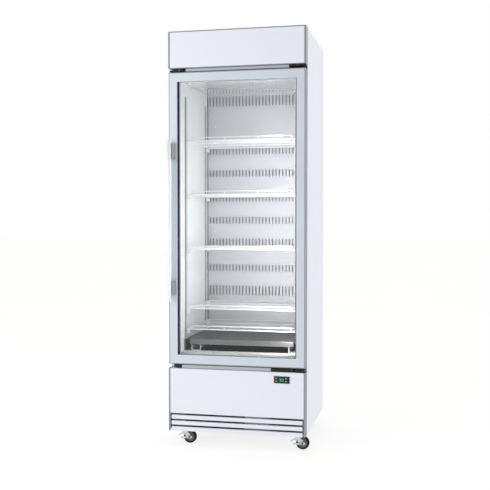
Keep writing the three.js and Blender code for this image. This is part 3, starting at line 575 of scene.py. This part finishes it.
# ---- Shelf strips: four white pilasters with a column of slots, and a moulded clip hooked in under each shelf ----
# Each strip is a pressed channel, screwed to the side wall. Its narrow front edge is painted grey as shade,
# and its slot walls are painted darker as shade.
painted_shade_edge = coated("painted_shade_edge_grey", (0.42, 0.425, 0.44), 0.5, metallic=0.2, grain=700, depth=0.03, mottle=0.1)
strip_shade = coated("strip_slot_shade", (0.26, 0.265, 0.28), 0.6, grain=300, depth=0.05, mottle=0.2)
painted_shade_edge_x = 307.8 * MM
for end, y in (("front", -175), ("rear", 238)):
    for hand, x in (("left", -312.5), ("right", 312.5)):
        node = f"pilaster_{end}_{hand}"
        strip = punched(node + "_slotted", eased(merged(node), 0.7), [(x * 1.03, y, 585, 16)], {
            "Count": 64, "Step": (0, 0, 20 * MM), "Width": 6 * MM, "Depth": 30 * MM,
            "Turn": (0, 0, math.radians(90)), "Finish": liner_white, "Cut finish": strip_shade,
        }, "liner_white", node)
        # The front faces next to the side wall take the grey painted shade.
        strip.data.materials.append(painted_shade_edge)
        for face in strip.data.polygons:
            if face.normal.y < -0.5 and abs(face.center.x) > painted_shade_edge_x:
                face.material_index = len(strip.data.materials) - 1

# ---- Wire shelves: five welded grids of white-coated steel wire with a low fence along the front ----
# Thick bars make the rim, and fine wires run from front to back over cross bars. The fence's top wire bends
# down to the deck at both ends and has two ties, so goods can't slide off.
def shelf_tree():
    """Tubes along the bars that are given, whose thickness is an attribute, and a row of fine wires."""
    add, given, end = tree_of("welded_wires", {
        "Wires": "Int", "Pitch": "Float", "Wire radius": "Float", "First": "Vector", "Last": "Vector",
        "Finish": "Material"})
    thick = add("GeometryNodeInputNamedAttribute", {"Name": "thickness"})
    bars = add("GeometryNodeMeshToCurve", {"Mesh": given["Geometry"]})
    sized = add("GeometryNodeSetCurveRadius", {"Curve": bars, "Radius": thick})
    section = add("GeometryNodeCurvePrimitiveCircle", {"Resolution": 12, "Radius": 1})
    tubes = add("GeometryNodeCurveToMesh", {
        "Curve": sized, "Profile Curve": section, "Scale": thick, "Fill Caps": True})
    wire = add("GeometryNodeCurvePrimitiveLine", {"Start": given["First"], "End": given["Last"]})
    fine = add("GeometryNodeCurvePrimitiveCircle", {"Resolution": 8, "Radius": given["Wire radius"]})
    rod = add("GeometryNodeCurveToMesh", {"Curve": wire, "Profile Curve": fine, "Fill Caps": True})
    step = add("ShaderNodeCombineXYZ", {"X": given["Pitch"]})
    row = add("GeometryNodeMeshLine", {"Count": given["Wires"], "Offset": step})
    rods = add("GeometryNodeInstanceOnPoints", {"Points": row, "Instance": rod})
    return end(add("GeometryNodeJoinGeometry", {"Geometry": [tubes, rods]}), given["Finish"])


WIRES = shelf_tree()
wire_white = coated("coated_wire", (0.90, 0.91, 0.92), 0.28, grain=300, depth=0.05, mottle=0.03, coat=0.3)
rim, rail, brace = 3.0, 2.4, 2.2
left, right, near, far = -299, 299, -203, 271
fence_z = 18
half_fence = [(274, 2), (274, fence_z - 5), (272, fence_z - 1.5), (268, fence_z)]
fence = [(-x, z) for x, z in half_fence] + half_fence[::-1]


def shelf_bars(level):
    """Each bar is its points and its thickness, with the shelf's middle at the given level."""
    deck_bars = [
        ([(left, near, 0), (right, near, 0), (right, far, 0), (left, far, 0), (left, near, 0)], rim),
        ([(x, near, z) for x, z in fence], rail),
    ]
    deck_bars += [([(x, near, 1), (x, near, fence_z)], rail) for x in (-92, 92)]
    deck_bars += [([(left, y, -0.6), (right, y, -0.6)], brace) for y in (-45, 113)]
    points, edges, sizes = [], [], []
    for path, size in deck_bars:
        first = len(points)
        points += [(x * MM, y * MM, (z + level) * MM) for x, y, z in path]
        edges += [(first + i, first + i + 1) for i in range(len(path) - 1)]
        sizes += [size * MM] * len(path)
    mesh = bpy.data.meshes.new("bars")
    mesh.from_pydata(points, edges, [])
    thickness = mesh.attributes.new("thickness", "FLOAT", "POINT")
    thickness.data.foreach_set("value", sizes)
    return mesh


for number in range(1, 6):
    node = f"shelf_{number}"
    low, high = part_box(node)
    level = low.z / MM + 3
    grown(f"{node}_wires", shelf_bars(level), WIRES, {
        "Wires": 39, "Pitch": 15 * MM, "Wire radius": 1.5 * MM, "First": (-285 * MM, near * MM, (level + 1.3) * MM),
        "Last": (-285 * MM, far * MM, (level + 1.3) * MM), "Finish": wire_white,
    }, "wire_white", "cabinet", node, smooth=50)

# ---- Lamp: a white strip up the right front corner, with a frosted lens that faces into the cabinet ----
# The lens glows evenly along its length, and its housing is an aluminium channel.
folded("lamp_strip", grey_trim, "grey_trim", 0.6)
lamp_lens, add, shader = shader_of("lamp_lens")
cloud = add("ShaderNodeTexNoise", {"Scale": 12, "Vector": add("ShaderNodeTexCoord", out="Object")})
feed(shader, {
    "Base Color": add("ShaderNodeMapRange", {"Value": cloud, "To Min": 0.80, "To Max": 0.95}),
    "Emission Color": (1.0, 0.98, 0.95, 1), "Emission Strength": 8.0, "Roughness": 0.4})


def bridged(shape, near, far):
    """Adds the solid between two matching outlines of points in millimetres."""
    near, far = [[shape.verts.new([c * MM for c in point]) for point in outline] for outline in (near, far)]
    for k in range(len(near)):
        n = (k + 1) % len(near)
        shape.faces.new((near[k], near[n], far[n], far[k]))
    shape.faces.new(near[::-1])
    shape.faces.new(far)
    bmesh.ops.recalc_face_normals(shape, faces=shape.faces)
    return shape


lens_section = [(303.6, -253.0), (310.8, -236.6), (309.6, -235.4), (302.2, -252.2)]
lens = bridged(bmesh.new(), *[[(x, y, z) for x, y in lens_section] for z in (575, 1855)])
put("lamp_lens_strip", eased(lens, 0.4), lamp_lens, "grey_trim", "cabinet", smooth=0)

# ---- Floor tray: a stainless sheet with a folded lip, painted dark as shade, on two galvanised channels over the cooler ----
# The sheet is brushed from side to side, and the space under its lip is where air goes back to the cooler.
# A drain pan with three raised edges lies under the cooler, painted black as shade under the tray.
# One brushed stainless in two copies: the top painted near black as shade, the front lip a lighter lit copy.
tray_top_painted_shade = coated("stainless_top_painted_shade", (0.055, 0.053, 0.060), 0.30, metallic=0.5, grain=1400, depth=0.02,
                    mottle=0.2, stretch=(0.03, 1, 1))
tray_lip_lit_copy = coated("stainless_lip_lit_copy", (0.20, 0.195, 0.195), 0.38, metallic=0.5, grain=1400, depth=0.02,
                   mottle=0.15, stretch=(0.03, 1, 1))
shape = two_tone(eased(merged("floor_tray"), 0.9), lambda face: face.normal.y < -0.5)
put("floor_tray_sheet", shape, [tray_top_painted_shade, tray_lip_lit_copy], "dark_stainless", "cabinet", "floor_tray", smooth=0)
for node in ("tray_runner_left", "tray_runner_right"):
    folded(node, liner_white, "zinc_steel", 0.6)
# The pan's black is painted shade.
pan = blocks(((15, 46, 499), (482, 472, 1.6)), ((-224.75, 46, 505.1), (2.5, 472, 13.8)),
             ((254.75, 46, 505.1), (2.5, 472, 13.8)), ((15, 280.75, 505.1), (482, 2.5, 13.8)))
put("painted_shade_pan_under_coil", eased(pan, 0.5), black, "black_plastic", "cabinet", smooth=0)

# ---- Cooling coils: thin aluminium fins on copper tubes, one coil under the tray and one behind the louvres ----
# The fins are pressed on at an even pitch, and the tubes turn back at both ends.
def fin_tree():
    """A row of thin plates along X, and a tube along the path that is given."""
    add, given, end = tree_of("finned_coil", {
        "Fins": "Int", "Pitch": "Float", "Fin size": "Vector", "First fin": "Vector", "Tube radius": "Float",
        "Fin finish": "Material", "Tube finish": "Material"})
    step = add("ShaderNodeCombineXYZ", {"X": given["Pitch"]})
    row = add("GeometryNodeMeshLine", {"Count": given["Fins"], "Start Location": given["First fin"], "Offset": step})
    fin = add("GeometryNodeMeshCube", {"Size": given["Fin size"]})
    fins = add("GeometryNodeInstanceOnPoints", {"Points": row, "Instance": fin})
    bright = add("GeometryNodeSetMaterial", {"Geometry": fins, "Material": given["Fin finish"]})
    path = add("GeometryNodeMeshToCurve", {"Mesh": given["Geometry"]})
    ring = add("GeometryNodeCurvePrimitiveCircle", {"Resolution": 10, "Radius": given["Tube radius"]})
    tube = add("GeometryNodeCurveToMesh", {"Curve": path, "Profile Curve": ring, "Fill Caps": True})
    red = add("GeometryNodeSetMaterial", {"Geometry": tube, "Material": given["Tube finish"]})
    both = add("GeometryNodeJoinGeometry", {"Geometry": [bright, red]})
    return end(both, given["Fin finish"], selection=False)


COILS = fin_tree()
# The condenser's fins are painted darker as shade behind the louvres.
condenser_fin_painted_shade = coated("condenser_fin_aluminium_painted_shade", (0.30, 0.31, 0.33), 0.42, metallic=0.6, grain=700, depth=0.03, mottle=0.15)
# The evaporator's fins are painted near black as shade under the tray.
evaporator_painted_shade = coated("evaporator_painted_shade_fins", (0.006, 0.006, 0.007), 0.6, grain=700, depth=0.03, mottle=0.2, shine=0.1)
copper = coated("copper_tube", (0.60, 0.29, 0.16), 0.34, metallic=0.9, grain=600, depth=0.02, mottle=0.2)


def coil(node, low, high, fins, rows, fin_finish, slot):
    """Fins fill the box from low to high. rows are the (y, z) of each tube pass, joined end to end."""
    reach = 6
    path = []
    for i, (y, z) in enumerate(rows):
        start, stop = (low[0] + reach, high[0] - reach) if i % 2 == 0 else (high[0] - reach, low[0] + reach)
        path += [(start, y, z), (stop, y, z)]
        if i + 1 < len(rows):
            after = rows[i + 1]
            bulge = stop + (reach - 4 if stop > start else 4 - reach) * 1.5
            path.append((bulge, (y + after[0]) / 2, (z + after[1]) / 2))
    mesh = bpy.data.meshes.new(node)
    mesh.from_pydata([[c * MM for c in p] for p in path], [(i, i + 1) for i in range(len(path) - 1)], [])
    pitch = (high[0] - low[0] - 2 * reach - 6) / (fins - 1)
    middle = [(a + b) / 2 * MM for a, b in zip(low, high)]
    grown(node + "_finned", mesh, COILS, {
        "Fins": fins, "Pitch": pitch * MM, "First fin": ((low[0] + reach + 3) * MM, middle[1], middle[2]),
        "Fin size": (0.4 * MM, (high[1] - low[1]) * MM, (high[2] - low[2]) * MM), "Tube radius": 4 * MM,
        "Fin finish": fin_finish, "Tube finish": copper,
    }, slot, "cabinet", node, smooth=40)


coil("evaporator_coil", (-214, -60, 501), (244, 150, 551), 76,
     [(y, z) for y in range(-40, 150, 34) for z in (513, 539)], evaporator_painted_shade, "coil_aluminium")
coil("condenser_coil", (-309, -239, 89), (29, -193, 371), 62,
     [(y, z) for z in range(104, 370, 28) for y in (-227, -205)], condenser_fin_painted_shade, "coil_aluminium")
end_plates = blocks(*[((x, 202, 526), (2, 104, 50)) for x in (-214, 244)])
put("evaporator_end_plates", eased(end_plates, 0.5), zinc, "zinc_steel", "cabinet", smooth=0)
folded("evaporator_blower", black, "black_plastic", 0.3)

# ---- Chassis: a galvanised tray under the machine space, with a plate over each castor ----
# The whole cabinet stands on it, and the cooling machinery is bolted to it.
folded("base_chassis", zinc, "zinc_steel", 0.6)
plate_places = [(x + dx, y + dy, 82) for x in (-308, 308) for y in (-230, 300) for dx in (-26, 26) for dy in (-26, 26)]
screws("castor_plate_screws", plate_places, (0, 0, -1), zinc, "zinc_steel", radius=4, height=1.4)

# ---- Lower panel: a white steel front with rounded louvre bars near its foot and grey edge trims ----
# Air for the condenser goes in through three long gaps between the bars. The trims wrap round both sides.
def bar_section(low, high, nose=5):
    """A louvre bar in Y and Z: rounded at the front, flat at the back."""
    y = -326 + nose
    return [(-317.5, low), *bow((y, low + nose), (nose, nose), 270, 180, 4),
            *bow((y, high - nose), (nose, nose), 180, 90, 4), (-317.5, high)]


def extruded(shape, section, x0, x1):
    """A section in Y and Z carried along X, closed at both ends."""
    bridged(shape, *[[(x, y, z) for y, z in section] for x in (x0, x1)])


lower = bmesh.new()
for low, high in ((116.5, 138.5), (147.5, 169.5)):
    extruded(lower, bar_section(low, high), -352, 352)
extruded(lower, [(-321, 107.5), *bow((-321, 102.5), (5, 5), 90, 180, 4), (-326, 88), (-324, 85.2), (-269, 85.2),
                 (-269, 87.4), (-323, 87.4), (-323, 104), (-317.5, 105), (-317.5, 107.5)], -352, 352)
hole_left, hole_right, hole_low, hole_high = 207.8, 280.2, 364.8, 395.2
main_low, main_high = 178.5, 418.6
foot = [(-317.5, main_low), *bow((-321, main_low + 5), (5, 5), 270, 180, 4), (-326, hole_low), (-323.4, hole_low),
        (-323.4, main_low + 5), (-317.5, main_low + 3)]
crown = [(-326, hole_high), (-326, main_high - 2.5), *bow((-323.5, main_high - 2.5), (2.5, 2.5), 180, 90, 4),
         (-291, main_high), (-291, main_high - 2.4), (-323.4, main_high - 2.4), (-323.4, hole_high)]
middle = [(-326, hole_low), (-326, hole_high), (-323.4, hole_high), (-323.4, hole_low)]
for section, x0, x1 in ((foot, -358, 358), (crown, -358, 358), (middle, -358, hole_left), (middle, hole_right, 358)):
    extruded(lower, section, x0, x1)
put("lower_panel_front", lower, outside_white, "white_steel", "cabinet", "lower_panel", smooth=30)
trims = blocks(*[place for side in (-1, 1) for place in (
    ((side * 366.3, -297.2, 252), (2.4, 56.8, 334)), ((side * 361.6, -324.4, 252), (7.0, 3.2, 334)))])
put("lower_panel_trims", eased(trims, 0.7), grey_trim, "grey_trim", "cabinet", smooth=0)
panel_places = [(x, -326, 98) for x in (-300, 300)]
screws("lower_panel_screws", panel_places, (0, -1, 0), outside_white, "white_steel", radius=3.2, height=0.5)

# ---- Controller: a black panel instrument with a dark lens, a green number and four small keys ----
# The number is made of seven-segment bars that light up, with two small grey marks on each side of it.
folded("controller", black, "black_plastic", 1.0, 3)
for use in ("power", "set", "up", "down"):
    folded(f"button_{use}", cast_grey, "grey_trim", 0.7, 3)
green, add, shader = shader_of("display_green")
cells = add("ShaderNodeTexNoise", {"Scale": 900, "Vector": add("ShaderNodeTexCoord", out="Object")})
lit = add("ShaderNodeMix", {"Factor": cells, "A": (0.05, 0.62, 0.13, 1), "B": (0.12, 0.95, 0.28, 1)}, data_type="RGBA")
feed(shader, {"Base Color": lit, "Emission Color": lit, "Emission Strength": 0.45})
SEGMENTS = {  # centre across, centre up, and whether it stands upright, in digit widths
    "a": (0, 1, False), "b": (0.5, 0.5, True), "c": (0.5, -0.5, True), "d": (0, -1, False),
    "e": (-0.5, -0.5, True), "f": (-0.5, 0.5, True), "g": (0, 0, False),
}
DIGITS = {"3": "abgcd", "0": "abcdef"}


def lit_bars(places):
    """Thin six-sided bars that stand 0.3 mm proud of the bezel, each given by centre, length and direction."""
    shape = bmesh.new()
    for x, z, length, upright in places:
        half, thin = length / 2, 0.75
        outline = [(-half, 0), (thin - half, thin), (half - thin, thin), (half, 0), (half - thin, -thin),
                   (thin - half, -thin)]
        if upright:
            outline = [(v, u) for u, v in outline][::-1]
        bridged(shape, *[[(x + u, y, z + v) for u, v in outline] for y in (-329.75, -329.42)])
    return shape


digit_reach_x, digit_reach_z, flat_bar, upright_bar = 8.4, 7.2, 7.0, 6.2
bars = []
for digit, x in (("3", 235.0), ("0", 248.5)):
    for letter in DIGITS[digit]:
        dx, dz, upright = SEGMENTS[letter]
        length = upright_bar if upright else flat_bar
        bars.append((x + dx * digit_reach_x, 380 + dz * digit_reach_z, length, upright))
bars.append((241.8, 373.0, 1.8, False))
put("display_digits", lit_bars(bars), green, "display_green", "cabinet", smooth=0)
marks = [(224, 387, 3, False), (224, 373, 3, False), (274.5, 387.5, 3.4, False), (274.5, 372.5, 3.4, False)]
put("state_marks", lit_bars(marks), cast_grey, "grey_trim", "cabinet", smooth=0)

# ---- Compressor: a black enamelled steel shell, welded round its waist, on a plate with four rubber feet ----
# The seam is a raised ring round the shell, and each foot is a turned rubber bush.
enamel = coated("black_enamel", (0.02, 0.02, 0.022), 0.28, grain=350, depth=0.12, mottle=0.2, coat=0.4)
shell_base = 97.9
pot = [(0, 1), (68, 1), (80, 8), (86, 20), (89.2, 60), (89.6, 78), (91.5, 79.5), (91.5, 86), (89.6, 87.5), (89.2, 110),
       (84, 144), (76, 158), (60, 168), (34, 174), (0, 176)]
spun("compressor_shell", pot, (175, 175, shell_base), (0, 0, 1), enamel, "compressor_black", "cabinet", "compressor",
     sides=64)
mount = blocks(((175, 175, 96.9), (218, 178, 4)))
put("compressor_plate", eased(mount, 1.2), enamel, "compressor_black", "cabinet", smooth=0)
foot_outline = [(0, 88.2), (11, 88.2), (12, 89.5), (9, 91), (12, 92.5), (12, 94), (0, 94.4)]
for i, (x, y) in enumerate(((80, 100), (270, 100), (80, 250), (270, 250))):
    spun(f"compressor_foot_{i + 1}", foot_outline, (x, y, 0), (0, 0, 1), seal, "seal_rubber", "cabinet", sides=20)

# ---- Condenser fan: five twisted blades on a hub, driven by a small shaded-pole motor on a bracket ----
# The blades are pressed from one sheet, wide and rounded at the tips.
blade_black = coated("fan_black", (0.025, 0.025, 0.028), 0.45, grain=500, depth=0.06, mottle=0.2)
fan = bmesh.new()
hub_x, hub_y, hub_z = -140, -160, 232
spokes = [(20, -10, 10, 0.75), (45, -19, 19, 0.6), (75, -25, 26, 0.48), (96, -23, 27, 0.4), (103, -12, 20, 0.37)]
for i in range(5):
    turn = Matrix.Rotation(2 * math.pi * i / 5, 3, "Y")
    sides = []
    for thick in (-0.8, 0.8):
        rows = []
        for reach, lead, trail, pitch in spokes:
            row = []
            for k in range(7):
                w = lead + (trail - lead) * k / 6
                spot = Vector((reach, w * math.sin(pitch) + thick, w * math.cos(pitch)))
                row.append(fan.verts.new((turn @ spot + Vector((hub_x, hub_y, hub_z))) * MM))
            rows.append(row)
        sides.append(rows)
    for rows in sides:
        for a, b in zip(rows, rows[1:]):
            for k in range(6):
                fan.faces.new((a[k], a[k + 1], b[k + 1], b[k]))
    rims = [[side[0][k] for k in range(7)] + [side[j][6] for j in range(1, 5)]
            + [side[4][k] for k in range(5, -1, -1)] + [side[j][0] for j in range(3, 0, -1)] for side in sides]
    for k in range(len(rims[0])):
        n = (k + 1) % len(rims[0])
        fan.faces.new((rims[0][k], rims[0][n], rims[1][n], rims[1][k]))
bmesh.ops.recalc_face_normals(fan, faces=fan.faces)
put("condenser_fan_blades", fan, blade_black, "black_plastic", "condenser_fan", "condenser_fan", smooth=40)
hub_outline = [(5.2, -11.5), (18, -11.5), (20.5, -9), (20.5, 9), (18, 11.5), (5.2, 11.5)]
spun("condenser_fan_hub", hub_outline, (hub_x, hub_y, hub_z), (0, 1, 0), blade_black, "black_plastic", "condenser_fan",
     sides=32)
folded("condenser_motor", enamel, "compressor_black", 1.2)

# ---- Back of the machine space: a galvanised grille with seven vents, and the mains inlet ----
# The inlet is a flanged three-pin socket. Its lead is separate and isn't shown.
folded("rear_grille", zinc, "zinc_steel", 0.7)
folded("power_inlet", black, "black_plastic", 0.8)
grille_places = [(x, 371.4, z) for x in (-352, 352) for z in (100, 262, 424)]
screws("grille_screws", grille_places, (0, 1, 0), zinc, "zinc_steel", radius=3.4, height=1.3)
pins = blocks(*[((x, 362.5, z), (2, 14, 4)) for x, z in ((-286.5, 378), (-273.5, 378), (-280, 383))])
put("inlet_pins", eased(pins, 0.4), zinc, "zinc_steel", "cabinet", smooth=0)

# ---- Castors: rubber-tyred wheels in zinc-plated forks that swivel, with a brake pedal on the front two ----
# The tyre is black and rounded at its shoulders, and the hub is grey plastic with a stepped web. A hexagon
# nut holds each end of the axle, and a flat link runs beside each front wheel to its brake.
tyre_black = coated("castor_rubber", (0.010, 0.010, 0.011), 0.62, grain=420, depth=0.1, mottle=0.3, shine=0.15)
hub_grey = coated("hub_grey", (0.14, 0.142, 0.15), 0.45, grain=500, depth=0.06, mottle=0.12, shine=0.3)
bright_zinc = coated("bright_zinc", (0.60, 0.61, 0.63), 0.20, metallic=0.95, grain=900, depth=0.02, mottle=0.15)
half_tyre = [(25.1, 10.2), (27.5, 10.9), (31.6, 10.8), (34.2, 9.4), (35, 7)]
half_web = [(4.7, 9.8), (11, 9.8), (12.6, 8.6), (13.4, 6.6), (22.1, 6.6), (23.3, 9.2), (25.0, 10.0)]
tyre_outline, web_outline = [[(r, -h) for r, h in half] + half[::-1] for half in (half_tyre, half_web)]
trail_length, axle_z = 32, 35
castors = (("front_left", -308, -230, 1), ("front_right", 308, -230, 1), ("rear_left", -308, 300, -1),
           ("rear_right", 308, 300, -1))
for place_name, x, y, trail in castors:
    axle = (x + trail * trail_length, y, axle_z)
    spun(f"castor_tyre_{place_name}", tyre_outline, axle, (0, 1, 0), tyre_black, "castor_tyre", f"wheel_{place_name}",
         f"castor_wheel_{place_name}", sides=56)
    spun(f"castor_hub_{place_name}", web_outline, axle, (0, 1, 0), hub_grey, "grey_trim", f"wheel_{place_name}",
         sides=40)
    folded(f"castor_fork_{place_name}", bright_zinc, "zinc_steel", 0.7)
nut_outline = [(0, -3.2), (5.4, -3.2), (6.4, -2.4), (6.4, 2.2), (5.6, 3.0), (3.4, 3.0), (3.2, 3.6), (0, 3.6)]
for place_name, x, y, trail in castors:
    for end, side in (("near", -1), ("far", 1)):
        seat = (x + trail * trail_length, y + side * 19.6, axle_z)
        spun(f"axle_nut_{place_name}_{end}", nut_outline, seat, (0, side, 0), dark_zinc, "zinc_steel",
             f"castor_{place_name}", sides=6)
for place_name in ("front_left", "front_right"):
    folded(f"brake_pedal_{place_name}", bright_zinc, "zinc_steel", 1.2, 3)
link_outline = [(-50, 27.5), (-45, 25.5), (-12, 28), (10, 27.5), (18, 34), (12, 40.5), (0, 43.5), (-10, 39.5),
                (-24, 36), (-47, 34.5)]
for place_name, x, y, trail in castors[:2]:
    faces = [[(x + trail * trail_length + u, y - t, z) for u, z in link_outline] for t in (19.4, 21.2)]
    link_plate = eased(bridged(bmesh.new(), *faces), 0.5)
    put(f"brake_link_{place_name}", link_plate, bright_zinc, "zinc_steel", f"castor_{place_name}", smooth=0)
